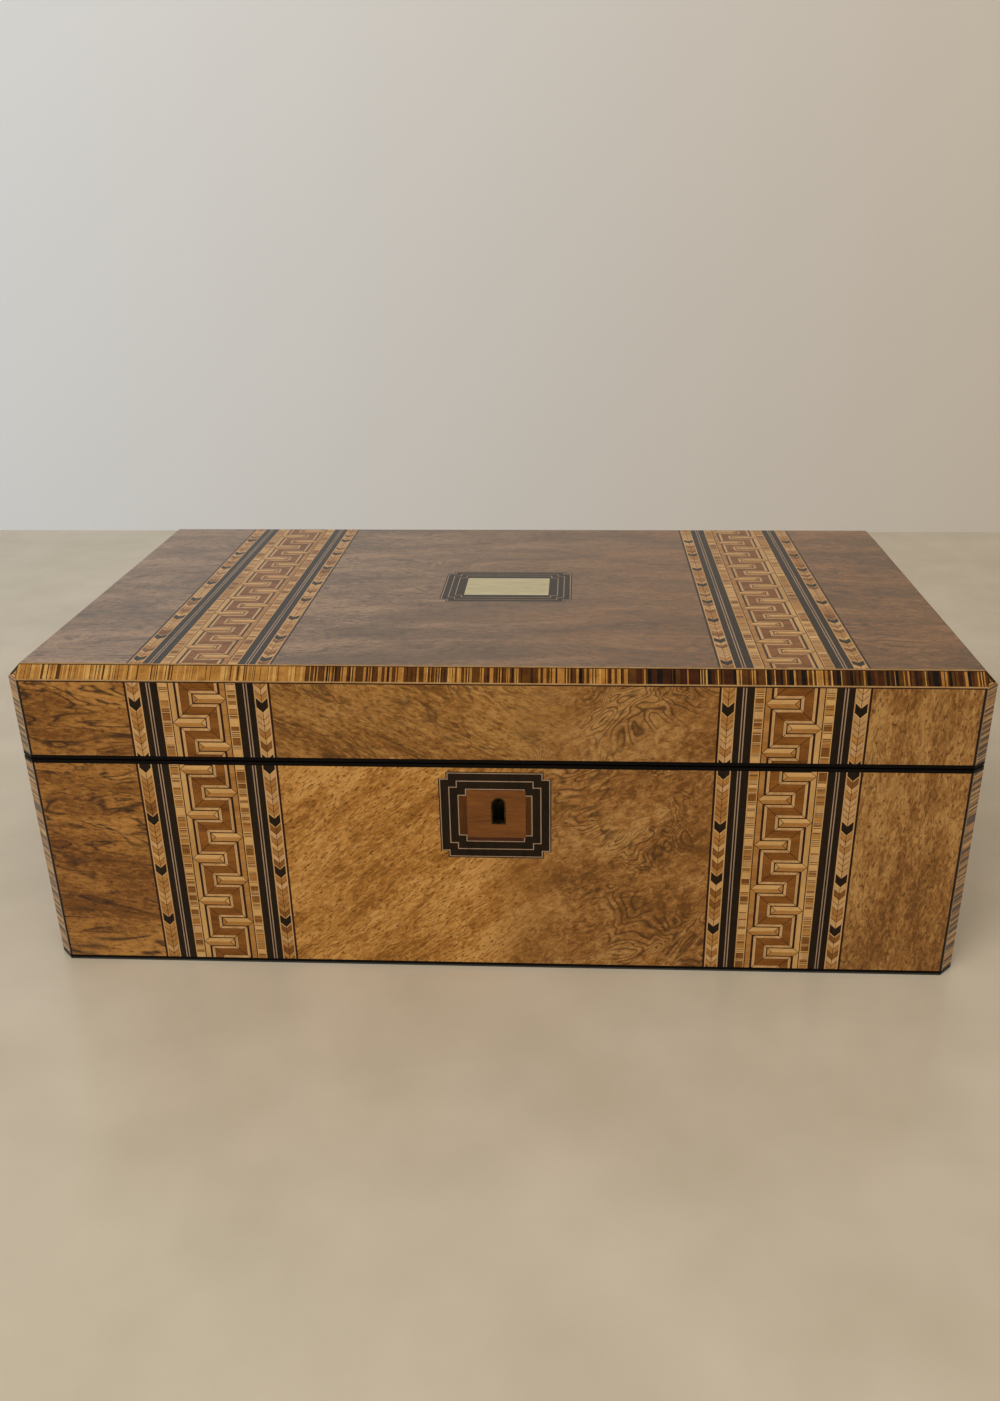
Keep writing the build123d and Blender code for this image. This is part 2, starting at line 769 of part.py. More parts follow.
def make_inkwells(cells):
    """Square glass bottles with brass collars and hinged caps, one in each end cell."""
    middle_x = (cells + inner_w / 2) / 2
    middle_y = (pen_front + pen_back) / 2 + 2
    foot = well_top - well_height
    blocks, bottles, collars = [], [], []
    for s, label in ((-1, "left"), (1, "right")):
        x = s * middle_x
        place = Pos(x, middle_y, 0)
        x0, x1 = sorted((s * cells, s * inner_w / 2))
        packing = block(x0, x1, pen_front, pen_back, base_floor, foot)
        blocks.append(packing)
        glass = Pos(0, 0, (foot + well_top) / 2) * Box(well_side, well_side, well_height)
        glass = chamfer(glass.faces().sort_by(Axis.Z)[-1].edges(), 2.5)
        glass = chamfer(glass.edges().filter_by(Axis.Z), 2.0)
        glass += Pos(0, 0, well_top) * Cylinder(
            neck_radius, neck_height, align=(Align.CENTER, Align.CENTER, Align.MIN)
        )
        ink_room = Pos(0, 0, foot + well_wall) * Cylinder(
            well_side / 2 - well_wall, well_height - 2 * well_wall,
            align=(Align.CENTER, Align.CENTER, Align.MIN),
        )
        mouth = Pos(0, 0, well_top - well_wall - 1) * Cylinder(
            mouth_radius, well_height, align=(Align.CENTER, Align.CENTER, Align.MIN)
        )
        bottles.append(place * (glass - ink_room - mouth))
        rim_z = well_top + neck_height
        ring = Pos(0, 0, well_top) * Cylinder(
            neck_radius + collar_wall, neck_height + collar_height, align=(Align.CENTER, Align.CENTER, Align.MIN)
        )
        ring -= Pos(0, 0, well_top) * Cylinder(
            neck_radius + 0.02, neck_height, align=(Align.CENTER, Align.CENTER, Align.MIN)
        )
        ring -= Pos(0, 0, well_top) * Cylinder(
            mouth_radius, far, align=(Align.CENTER, Align.CENTER, Align.MIN)
        )
        seat = rim_z + collar_height
        pin_y = -cap_radius - cap_pin_radius - 0.9 - cap_play
        pin_z = seat + cap_play
        lug_base = block(-cap_lug / 2, cap_lug / 2, pin_y - 1.6, -neck_radius, well_top + neck_height, pin_z)
        pin_bar = Pos(0, pin_y, pin_z) * Rot(0, 90, 0) * Cylinder(cap_pin_radius, cap_lug + 5)
        barrel = Pos(0, pin_y, pin_z) * Rot(0, 90, 0) * Cylinder(cap_pin_radius + 0.9, cap_lug)
        ring = ring + lug_base + barrel + pin_bar
        collars.append(place * ring)
        dome = Pos(0, 0, seat + cap_play) * Cylinder(
            cap_radius, cap_height, align=(Align.CENTER, Align.CENTER, Align.MIN)
        )
        dome = fillet(dome.edges().group_by(Axis.Z)[-1], cap_height * 0.7)
        dome -= Pos(0, 0, seat + cap_play) * Cylinder(
            cap_radius - 3 * cap_wall, cap_height - 2 * cap_wall, align=(Align.CENTER, Align.CENTER, Align.MIN)
        )
        for t in (-1, 1):
            ear_x = t * (cap_lug / 2 + cap_play + 1.0)
            ear = Pos(ear_x, pin_y, pin_z) * Rot(0, 90, 0) * Cylinder(cap_pin_radius + 0.9, 1.8)
            arm = block(ear_x - 0.9, ear_x + 0.9, pin_y, -cap_radius + 3.0, pin_z, pin_z + 1.8)
            dome = dome + ear + arm
        dome -= Pos(0, pin_y, pin_z) * Rot(0, 90, 0) * Cylinder(cap_pin_radius + pin_play, cap_lug + 8)
        parts[f"inkwell_cap_{label}"] = place * dome
    parts["inkwell_blocks"] = blocks
    parts["inkwell_bottles"] = bottles
    parts["inkwell_collars"] = collars


def solids_of(shape):
    """Every solid in a shape or a list of shapes."""
    if isinstance(shape, (list, tuple)):
        return [s for item in shape for s in solids_of(item)]
    return list(shape.solids())


def write_parts():
    os.makedirs("parts", exist_ok=True)
    for name, shape in parts.items():
        solids = solids_of(shape)
        whole = solids[0] if len(solids) == 1 else Compound(children=solids)
        whole.label = name
        export_step(whole, f"parts/{name}.step")


make_carcass()
make_lock()
make_bands()
make_veneers()
make_bandings()
make_hinges()
make_flap("base", -1)
make_flap("lid", 1)
make_bearers()
make_pen_section()
write_parts()

print("nodes", len(parts))
print("slope", round(slope_angle, 3), "degrees")
print("hinge axis y", hinge_y, "z", joint_back)
for flap_name, flap_side in (("base", -1), ("lid", 1)):
    print(flap_name, "flap axis", flap_pivot_spot(flap_side))
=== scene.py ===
"""Looks of a veneered writing box, dressed over its CAD nodes.

Metres, +Z up, the lock side faces -Y and the origin is the middle of the underside.
The sizes of the box and of its inlay are in millimetres, and are drawn times MM.
"""

import math
import random

import bmesh
import bpy
from mathutils import Matrix, Vector


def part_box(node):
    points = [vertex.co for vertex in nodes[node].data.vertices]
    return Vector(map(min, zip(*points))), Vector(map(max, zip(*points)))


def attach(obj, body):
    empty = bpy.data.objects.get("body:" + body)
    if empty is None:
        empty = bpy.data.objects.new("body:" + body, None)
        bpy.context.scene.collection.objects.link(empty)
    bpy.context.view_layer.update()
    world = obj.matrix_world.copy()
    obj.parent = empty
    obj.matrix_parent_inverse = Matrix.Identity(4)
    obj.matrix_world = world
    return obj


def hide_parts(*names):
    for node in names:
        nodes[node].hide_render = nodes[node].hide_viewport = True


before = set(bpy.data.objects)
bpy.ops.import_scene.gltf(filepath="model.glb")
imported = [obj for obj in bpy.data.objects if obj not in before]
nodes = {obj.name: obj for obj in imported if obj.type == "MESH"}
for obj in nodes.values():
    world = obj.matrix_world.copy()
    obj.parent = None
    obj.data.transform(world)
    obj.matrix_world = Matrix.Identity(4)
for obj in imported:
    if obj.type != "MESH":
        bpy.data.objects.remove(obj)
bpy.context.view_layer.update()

MM = 0.001
ACROSS, BACK, UP = range(3)
half_width = 200
half_depth = 109
box_height = 142
cant = 6
flat_half_width = half_width - cant
flat_half_depth = half_depth - cant

# Camera
# The photograph is taken from close by, 31 cm above the floor and just right of
# the middle, and looks down on the box at about 24 degrees. The picture is
# cropped a little more on its right, so the lens is shifted.
camera_place = Vector((0.0328, -0.5312, 0.3145))
camera_yaw = math.radians(-2.839)
camera_pitch = math.radians(23.621)
camera_roll = math.radians(0.619)
photo_height_px = 1401
focal_px = 1152.3
crop_px = 22.3
sensor_mm = 36

ahead = Vector((
    math.sin(camera_yaw) * math.cos(camera_pitch),
    math.cos(camera_yaw) * math.cos(camera_pitch),
    -math.sin(camera_pitch),
))
level_right = Vector((math.cos(camera_yaw), -math.sin(camera_yaw), 0))
level_down = ahead.cross(level_right)
right = level_right * math.cos(camera_roll) + level_down * math.sin(camera_roll)
down = level_down * math.cos(camera_roll) - level_right * math.sin(camera_roll)
lens = bpy.data.cameras.new("phone_lens")
lens.sensor_fit = "VERTICAL"
lens.sensor_height = sensor_mm
lens.lens = sensor_mm * focal_px / photo_height_px
lens.shift_x = -crop_px / photo_height_px
lens.clip_start = 0.01
camera = bpy.data.objects.new("camera", lens)
bpy.context.scene.collection.objects.link(camera)
camera_turn = Matrix((right, -down, -ahead)).transposed().to_4x4()
camera.matrix_world = Matrix.Translation(camera_place) @ camera_turn
bpy.context.scene.camera = camera
bpy.context.scene.view_settings.view_transform = "Standard"


# Floor, backdrop and light
# A pale polished stone floor runs up to a painted wall, as in a bright hall,
# with a window's soft light from the left and the front.
def linear(hex_colour):
    """An sRGB hex colour as linear RGBA."""
    channels = [int(hex_colour[i:i + 2], 16) / 255 for i in (1, 3, 5)]
    return [c / 12.92 if c <= 0.04045 else ((c + 0.055) / 1.055) ** 2.4 for c in channels] + [1]


def add_node(tree, kind, sockets=None, **settings):
    """One shader node, with its settings, and its inputs set or linked by name or place."""
    node = tree.nodes.new(kind)
    for setting, value in settings.items():
        setattr(node, setting, value)
    for socket, value in (sockets or {}).items():
        if isinstance(value, bpy.types.NodeSocket):
            tree.links.new(value, node.inputs[socket])
        else:
            node.inputs[socket].default_value = value
    return node


def empty_material(name):
    """A material with no nodes in it yet, and its tree."""
    material = bpy.data.materials.new(name)
    material.use_nodes = True
    material.node_tree.nodes.clear()
    return material, material.node_tree


def surface(tree, sockets):
    """Ends a material in one shader with these inputs."""
    shader = add_node(tree, "ShaderNodeBsdfPrincipled", sockets)
    add_node(tree, "ShaderNodeOutputMaterial", {"Surface": shader.outputs[0]})


def tone_ramp(tree, factor, stops):
    """Colours along a factor, from (place, hex colour) stops."""
    ramp = add_node(tree, "ShaderNodeValToRGB", {0: factor})
    while len(ramp.color_ramp.elements) < len(stops):
        ramp.color_ramp.elements.new(0.5)
    for element, (place, colour) in zip(ramp.color_ramp.elements, stops):
        element.position = place
        element.color = linear(colour)
    return ramp.outputs["Color"]


def object_places(tree, period_mm, turn=(0, 0, 0)):
    """Object coordinates turned by degrees, then scaled so that one unit is one period per axis."""
    where = add_node(tree, "ShaderNodeTexCoord")
    sockets = {
        "Vector": where.outputs["Object"],
        "Scale": [p * MM for p in period_mm],
        "Rotation": [math.radians(t) for t in turn],
    }
    return add_node(tree, "ShaderNodeMapping", sockets, vector_type="TEXTURE").outputs[0]


def noise(tree, place, detail, scale=1, roughness=0.5, distortion=0):
    """Cloudy noise over a place, as a factor."""
    sockets = {
        "Vector": place, "Scale": scale, "Detail": detail,
        "Roughness": roughness, "Distortion": distortion,
    }
    return add_node(tree, "ShaderNodeTexNoise", sockets).outputs["Fac"]


def mapped(tree, value, low, high, start=0.0, end=1.0):
    """A value from low to high as one from start to end, held at both ends."""
    sockets = {"Value": value, "From Min": low, "From Max": high, "To Min": start, "To Max": end}
    return add_node(tree, "ShaderNodeMapRange", sockets).outputs[0]


def piece_from(bm, name, materials):
    """A scene object made from a bmesh, with its materials."""
    mesh = bpy.data.meshes.new(name)
    bm.to_mesh(mesh)
    bm.free()
    for material in materials:
        mesh.materials.append(material)
    made = bpy.data.objects.new(name, mesh)
    bpy.context.scene.collection.objects.link(made)
    return made


def square_sheet(name, half_size, matrix, material):
    """One flat square, for the floor and for the wall."""
    bm = bmesh.new()
    bmesh.ops.create_grid(bm, x_segments=1, y_segments=1, size=half_size, matrix=matrix)
    return piece_from(bm, name, [material])


def soft_light(name, place, aim, size, watts, colour):
    """A square area lamp at a place, turned to a point."""
    lamp = bpy.data.lights.new(name, "AREA")
    lamp.size = size
    lamp.energy = watts
    lamp.color = linear(colour)[:3]
    made = bpy.data.objects.new(name, lamp)
    bpy.context.scene.collection.objects.link(made)
    made.location = place
    made.rotation_euler = (Vector(aim) - Vector(place)).to_track_quat("-Z", "Y").to_euler()


stone, tree = empty_material("polished_limestone")
# Limestone tile, polished: fine pale mottling under a soft, wide shine.
mottle = noise(tree, object_places(tree, (60, 60, 60)), 6)
stone_tone = tone_ramp(tree, mottle, [(0.3, "#BCB09A"), (0.7, "#C9BDA8")])
surface(tree, {"Base Color": stone_tone, "Roughness": 0.22, "IOR": 1.5})

painted_wall, tree = empty_material("painted_wall")
# Eggshell paint on the wall behind, smooth, with the window's light painted in: paler and bluer
# towards the window on the left, warmer to the right.
# It is on the room's side alone, so a view from behind looks past the wall.
wall_place = add_node(tree, "ShaderNodeSeparateXYZ", {0: object_places(tree, (1000, 1000, 1000))})
painted_light_share = mapped(tree, wall_place.outputs["X"], -0.6, 0.7)
wall_tone_and_painted_light = tone_ramp(tree, painted_light_share, [(0.0, "#DFE5EC"), (1.0, "#CFC2AF")])
paint = add_node(tree, "ShaderNodeBsdfPrincipled", {"Base Color": wall_tone_and_painted_light, "Roughness": 0.5})
side = add_node(tree, "ShaderNodeNewGeometry")
open_back = add_node(tree, "ShaderNodeBsdfTransparent")
one_sided = add_node(
    tree, "ShaderNodeMixShader",
    {0: side.outputs["Backfacing"], 1: paint.outputs[0], 2: open_back.outputs[0]},
)
add_node(tree, "ShaderNodeOutputMaterial", {"Surface": one_sided.outputs[0]})

room_half = 3
floor_middle = (0, -1.8, 0)
wall_middle = (0, 0.62, room_half)
wall_turn = Matrix.Rotation(math.pi / 2, 4, "X")
floor = square_sheet("floor", room_half, Matrix.Translation(floor_middle), stone)
backdrop = square_sheet(
    "backdrop", room_half, Matrix.Translation(wall_middle) @ wall_turn, painted_wall
)

world = bpy.data.worlds.new("hall")
world.use_nodes = True
hall_glow = world.node_tree.nodes["Background"].inputs
hall_glow["Color"].default_value = linear("#F1F0EE")
hall_glow["Strength"].default_value = 0.55
bpy.context.scene.world = world
lamp_aim = (0, 0, 0.05)
soft_light("window", (-1.1, -1.5, 1.6), lamp_aim, 1.2, 26, "#FFFBF4")
soft_light("hall_light", (0.9, -1.4, 1.9), lamp_aim, 1.4, 12, "#FFF3E4")


# Carcass
# Boards of sawn pine, lapped and glued at the corners. All of it is covered by
# veneer outside, and its waxed inside shows when the box is open.
def arithmetic(tree, operation, *values):
    """The result of one sum of values or sockets."""
    return add_node(
        tree, "ShaderNodeMath", dict(enumerate(values)), operation=operation
    ).outputs[0]


def bumped(tree, height, strength, distance_mm=0.2):
    """A normal raised by a height."""
    sockets = {"Strength": strength, "Distance": distance_mm * MM, "Height": height}
    return add_node(tree, "ShaderNodeBump", sockets).outputs[0]


def polished_wood(
    name, pale, deep, along, fibre_mm,
    length=14, shine=0.34, coat=0.0, relief=0.05, gloss=0.3,
):
    """Straight-grained wood: fibres drawn out along one axis, with slow tone changes."""
    material, tree = empty_material(name)
    period = [fibre_mm] * 3
    period[along] = fibre_mm * length
    slow_period = [p * 9 for p in period]
    fibres = noise(tree, object_places(tree, period), 5, roughness=0.6, distortion=0.3)
    drift = noise(tree, object_places(tree, slow_period), 3)
    half = arithmetic(tree, "MULTIPLY", arithmetic(tree, "ADD", fibres, drift), 0.5)
    surface(tree, {
        "Base Color": tone_ramp(tree, half, [(0.36, deep), (0.62, pale)]),
        "Roughness": shine, "Specular IOR Level": gloss,
        "Normal": bumped(tree, fibres, relief),
        "Coat Weight": coat, "Coat Roughness": 0.12,
    })
    return material


def dress(material, *names):
    """Gives CAD nodes their material."""
    for name in names:
        nodes[name].data.materials.clear()
        nodes[name].data.materials.append(material)


pine_wide = polished_wood("waxed_pine", "#B98A55", "#8A5E34", ACROSS, 1.6, shine=0.5)
pine_deep = polished_wood("waxed_pine_sides", "#B98A55", "#8A5E34", BACK, 1.6, shine=0.5)
dress(pine_wide, "base_bottom_board", "base_front_board", "base_back_board")
dress(pine_wide, "lid_top_board", "lid_front_board", "lid_back_board", "inkwell_blocks")
dress(pine_deep, "base_side_boards", "lid_side_boards")


# Walnut veneers
# Knife-cut burr and figured walnut, laid on the carcass in matched sheets and
# French polished: a mottled ground, thin dark growth lines and short dark pores.
shortest_fibre_mm = 0.9
longest_fibre_mm = 4
pore_length_mm = 2.6
under_band = 0.1
corner_string_mm = 0.9


def mixed(tree, share, colour, other):
    """A colour with a share of another mixed in."""
    sockets = {0: share, 6: colour, 7: other}
    return add_node(tree, "ShaderNodeMix", sockets, data_type="RGBA").outputs[2]


def walnut_figure(
    tree, tones, period_mm, turn=(0, 0, 0),
    rings=12, lines=0.6, pores=0.5, shift=0, fine=0.5, thickness=0.12,
):
    """Colour of one sheet, from its deep, middle, pale and line tones, and its fibres' height."""
    deep, middle, pale, line_tone = tones
    line_colour = linear(line_tone)
    place = object_places(tree, period_mm, turn)
    moved = add_node(
        tree, "ShaderNodeVectorMath", {0: place, 1: (shift, shift, shift)}, operation="ADD"
    ).outputs[0]
    swell = noise(tree, moved, 3, distortion=0.7)
    fibre_period = [
        max(shortest_fibre_mm, min(p * 0.09, longest_fibre_mm)) for p in period_mm
    ]
    fibres = noise(
        tree, object_places(tree, fibre_period, turn), 5, roughness=0.75, distortion=0.6
    )
    blend = add_node(
        tree, "ShaderNodeMix", {0: fine, 2: swell, 3: fibres}, data_type="FLOAT"
    ).outputs[0]
    ground = tone_ramp(tree, blend, [(0.41, deep), (0.5, middle), (0.59, pale)])
    ring = arithmetic(tree, "PINGPONG", arithmetic(tree, "MULTIPLY", swell, rings), 0.5)
    line = mapped(tree, ring, 0.0, thickness, 1.0, 0.0)
    patches = noise(tree, moved, 4, scale=1.7)
    patch = mapped(tree, patches, 0.4, 0.55, 0.0, lines)
    lined = mixed(tree, arithmetic(tree, "MULTIPLY", line, patch), ground, line_colour)
    pore_period = [
        pore_length_mm if p == max(period_mm) else shortest_fibre_mm for p in period_mm
    ]
    pore_noise = noise(tree, object_places(tree, pore_period, turn), 2)
    pored = mixed(tree, mapped(tree, pore_noise, 0.58, 0.66, 0.0, pores), lined, line_colour)
    return pored, fibres


def between_places(tree, axis, low_mm, high_mm, ripple_mm=0.0):
    """A share that grows from 0 to 1 between two places along an axis, with a ragged edge."""
    where = add_node(tree, "ShaderNodeSeparateXYZ", {0: object_places(tree, (1, 1, 1))})
    ragged = noise(tree, object_places(tree, (25, 25, 25)), 3)
    ragged_place = arithmetic(tree, "MULTIPLY_ADD", ragged, ripple_mm, where.outputs[axis])
    return mapped(tree, ragged_place, low_mm + ripple_mm / 2, high_mm + ripple_mm / 2)


def corner_string(tree, colour, side):
    """Adds the thin stained string that ends a front panel at the corner post of one side."""
    start = side * (flat_half_width - corner_string_mm)
    string = between_places(tree, "X", start, start + side * 0.1)
    return mixed(tree, string, colour, linear("#1C0E05"))


def french_polish(tree, colour, height, shine=0.33, coat=0.0, gloss=0.25):
    """Thin hard polish over a veneer's fibres."""
    surface(tree, {
        "Base Color": colour, "Roughness": shine, "Specular IOR Level": gloss,
        "Normal": bumped(tree, height, 0.06),
        "Coat Weight": coat, "Coat Roughness": 0.1,
    })


def turning_walnut(name, left, right, low_mm, high_mm, ripple_mm, **polish):
    """A sheet whose figure turns from one kind into another between two places along X."""
    material, tree = empty_material(name)
    left_colour, height = walnut_figure(tree, **left)
    right_colour, _ = walnut_figure(tree, **right)
    turning = between_places(tree, "X", low_mm, high_mm, ripple_mm)
    french_polish(tree, mixed(tree, turning, left_colour, right_colour), height, **polish)
    return material


def dress_panels(name, left, centre, right):
    """Gives the three sheets of a front, which meet under the bands, their own veneers."""
    mesh = nodes[name].data
    mesh.materials.clear()
    for material in (left, centre, right):
        mesh.materials.append(material)
    for face in mesh.polygons:
        x = face.center.x
        face.material_index = 0 if x < -under_band else 2 if x > under_band else 1


streaked, tree = empty_material("streaked_walnut")
# Walnut with a long grain from side to side and a few dark wavy streaks.
colour, height = walnut_figure(
    tree, ("#6A3F12", "#95632A", "#B07C3C", "#321C08"), (60, 60, 15), (0, 6, 0),
    rings=9, lines=0.95, pores=0.6, thickness=0.22,
)
french_polish(tree, corner_string(tree, colour, -1), height)

# Golden burr on the left that turns into brown, swirling crotch figure on the right.
base_burr = turning_walnut(
    "burr_walnut",
    dict(
        tones=("#85541A", "#AA7432", "#C69350", "#583408"), period_mm=(50, 30, 14),
        turn=(0, -38, 0), rings=10, lines=0.35, pores=0.8, fine=0.62,
    ),
    dict(
        tones=("#6C4317", "#95642F", "#B0834A", "#452A0F"), period_mm=(44, 30, 30),
        turn=(0, -30, 0), rings=30, lines=0.9, pores=0.45, shift=4, fine=0.6, thickness=0.26,
    ),
    -10, 30, 25,
)

# The lid's sheet: slanting growth lines on the left, the same crotch figure on the right.
lid_burr = turning_walnut(
    "lid_burr_walnut",
    dict(
        tones=("#6E4417", "#94652D", "#AE8044", "#44290D"), period_mm=(60, 60, 16),
        turn=(0, 24, 0), rings=16, lines=0.7, pores=0.5, shift=9, fine=0.65, thickness=0.25,
    ),
    dict(
        tones=("#6C4317", "#92632F", "#AD8048", "#452A0F"), period_mm=(44, 30, 30),
        turn=(0, -20, 0), rings=30, lines=0.9, pores=0.45, shift=4, fine=0.6, thickness=0.26,
    ),
    5, 40, 25,
)

upright, tree = empty_material("upright_walnut")
# Quiet walnut laid with the grain upright.
colour, height = walnut_figure(
    tree, ("#6B431A", "#91632F", "#B0844A", "#48290D"), (16, 16, 60), (0, 5, 0),
    rings=8, lines=0.4, pores=0.7, shift=2, fine=0.6,
)
french_polish(tree, corner_string(tree, colour, 1), height)

side_walnut, tree = empty_material("side_walnut")
# Straight walnut on both sides, with the grain running back.
colour, height = walnut_figure(
    tree, ("#6B4219", "#85572B", "#9C6E3E", "#43280F"), (14, 60, 14), rings=8
)
french_polish(tree, colour, height)

back_walnut, tree = empty_material("back_walnut")
# The same straight walnut across the back.
colour, height = walnut_figure(
    tree, ("#6B4219", "#7F5228", "#966838", "#43280F"), (60, 14, 14), rings=8
)
french_polish(tree, colour, height)

dress_panels("base_front_veneer", streaked, base_burr, upright)
dress_panels("lid_front_veneer", streaked, lid_burr, upright)
dress(side_walnut, "base_side_veneers", "lid_side_veneers")
dress(back_walnut, "base_back_veneer", "lid_back_veneer")


# Lid's top veneer
# Three sheets of walnut with a long grain from side to side under a worn polish,
# faded by the sun and with a painted cool sheen of reflected light, which together make
# it a greyish brown on the left, and a reddish brown on the right.
top_walnut = turning_walnut(
    "faded_walnut_and_painted_sheen",
    dict(
        tones=("#5E4833", "#7C5F45", "#99795B", "#3C2A1A"), period_mm=(60, 16, 60),
        turn=(0, 0, 5), rings=12, lines=0.8, pores=0.5, fine=0.55, thickness=0.2,
    ),
    dict(
        tones=("#56391E", "#724C28", "#8F6338", "#342010"), period_mm=(60, 16, 60),
        turn=(0, 0, -4), rings=12, lines=0.7, pores=0.5, shift=5, fine=0.55, thickness=0.2,
    ),
    -60, 120, 60,
    shine=0.3, coat=0.12, gloss=0.42,
)
dress(top_walnut, "lid_top_veneer")


# Ebonised rims and bottom edging
# Thin lippings of black-stained pearwood on both rims, and a dark bead round
# the foot, polished with the rest.
ebonised_pear = polished_wood(
    "ebonised_pear", "#0C0805", "#050302", ACROSS, 0.8, shine=0.5, relief=0.03, gloss=0.08
)
dress(ebonised_pear, "base_rim_lipping", "lid_rim_lipping", "base_bottom_edging")


# Key bands
# Mosaic bands sawn from glued blocks: a Greek key of boxwood fingers and a
# winding brown ribbon between two ladders, two ebony strips and two feather strips.
def mosaic_woods(face, lengthwise, coat, gloss):
    """The ten woods of the mosaics, with the grain and the finish of one face."""
    recipes = [
        ("ebony", "#241708", "#140B04", lengthwise),
        ("boxwood", "#D0A468", "#B4874C", ACROSS),
        ("boxwood_long", "#C89C60", "#AA7E46", lengthwise),
        ("satinwood", "#B07E42", "#8E5C28", ACROSS),
        ("holly", "#C89C68", "#A67C4A", lengthwise),
        ("partridge_wood", "#8A5620", "#62370D", ACROSS),
        ("stained_line", "#341A07", "#1E0D03", lengthwise),
        ("tulipwood", "#885827", "#613812", lengthwise),
        ("rosewood", "#5A3310", "#3A1F09", lengthwise),
        ("weathered_string", "#A68C72", "#887058", lengthwise),
    ]
    return [
        polished_wood(f"{wood}_{face}", pale, deep, along, 0.5, length=8, coat=coat, gloss=gloss)
        for wood, pale, deep, along in recipes
    ]


front_mosaic = mosaic_woods("front", UP, 0.0, 0.15)
top_mosaic = mosaic_woods("top", BACK, 0.05, 0.25)
EBONY, BOX, BOX_UP, SATIN, HOLLY, RIBBON, LINE, TULIP, ROSE, GREY = range(10)

# Places in a band, in millimetres from its middle line outwards. A finger's
# end is negative, since it reaches past the middle line from its own comb.
key_pitch = 21.55
finger_half = 1.9
finger_end = -2.0
finger_mitre = -0.1
line_depth = 0.5
holly_depth = 1.65
rose_depth = 1.85
core_half = 8.95
bar_edge = 9.4
core_edge = 11.5
ladder_start = 11.9
ladder_end = 16.0
feather_start = 23.8
feather_end = 28.6
straight_strips = [
    (30.0, 29.1, LINE), (29.1, feather_end, HOLLY),
    (feather_start, 23.3, HOLLY), (23.3, 20.7, EBONY), (20.7, 20.25, GREY),
    (20.25, 19.55, LINE), (19.55, 19.1, GREY), (19.1, ladder_end, EBONY),
    (ladder_start, core_edge, LINE),
]
glue_width = 0.22
glue_lift = 0.02
arrow_pitch = 25.3
arrow_half = 2.1
arrow_edge = 2.6
arrow_dip = 2.3
feather_count = 7
feather_line = 0.3
spine_half = 0.12
ladder_string = 0.4
veneer_thickness = 0.9
band_middle = 120


def cut_sheet(bm, across, along):
    """A sheet of tiles on cut lines in millimetres. Returns its corners by column and row."""
    columns = len(across) - 1
    rows = len(along) - 1
    made = bmesh.ops.create_grid(bm, x_segments=columns, y_segments=rows, size=0.5)["verts"]
    corners = {}
    for vertex in made:
        i = round((vertex.co.x + 0.5) * columns)
        j = round((vertex.co.y + 0.5) * rows)
        vertex.co = (across[i] * MM, along[j] * MM, 0)
        corners[i, j] = vertex
    return corners


def give_woods(bm, wood_at):
    """Gives each tile the wood that is asked for at its middle, in millimetres."""
    for face in bm.faces:
        middle = face.calc_center_median() / MM
        face.material_index = wood_at(middle.x, middle.y)


def snapped(place):
    """A place rounded so that equal cut lines are found as equal."""
    return round(place, 4)


def clip_sheet(bm, start, end):
    """Trims a sheet square at both ends of its band."""
    for place, direction in ((start, -1), (end, 1)):
        bmesh.ops.bisect_plane(
            bm, geom=bm.verts[:] + bm.edges[:] + bm.faces[:], plane_co=(0, place * MM, 0),
            plane_no=(0, direction, 0), clear_outer=True,
        )


def glue_line(bm, start, end):
    """A thin dark line of glue between two points of a sheet, in millimetres."""
    a, b = Vector((*start, glue_lift)), Vector((*end, glue_lift))
    beside = Vector((a.y - b.y, b.x - a.x, 0)).normalized() * glue_width / 2
    ring = [bm.verts.new(place * MM) for place in (a - beside, b - beside, b + beside, a + beside)]
    bm.faces.new(ring).material_index = LINE


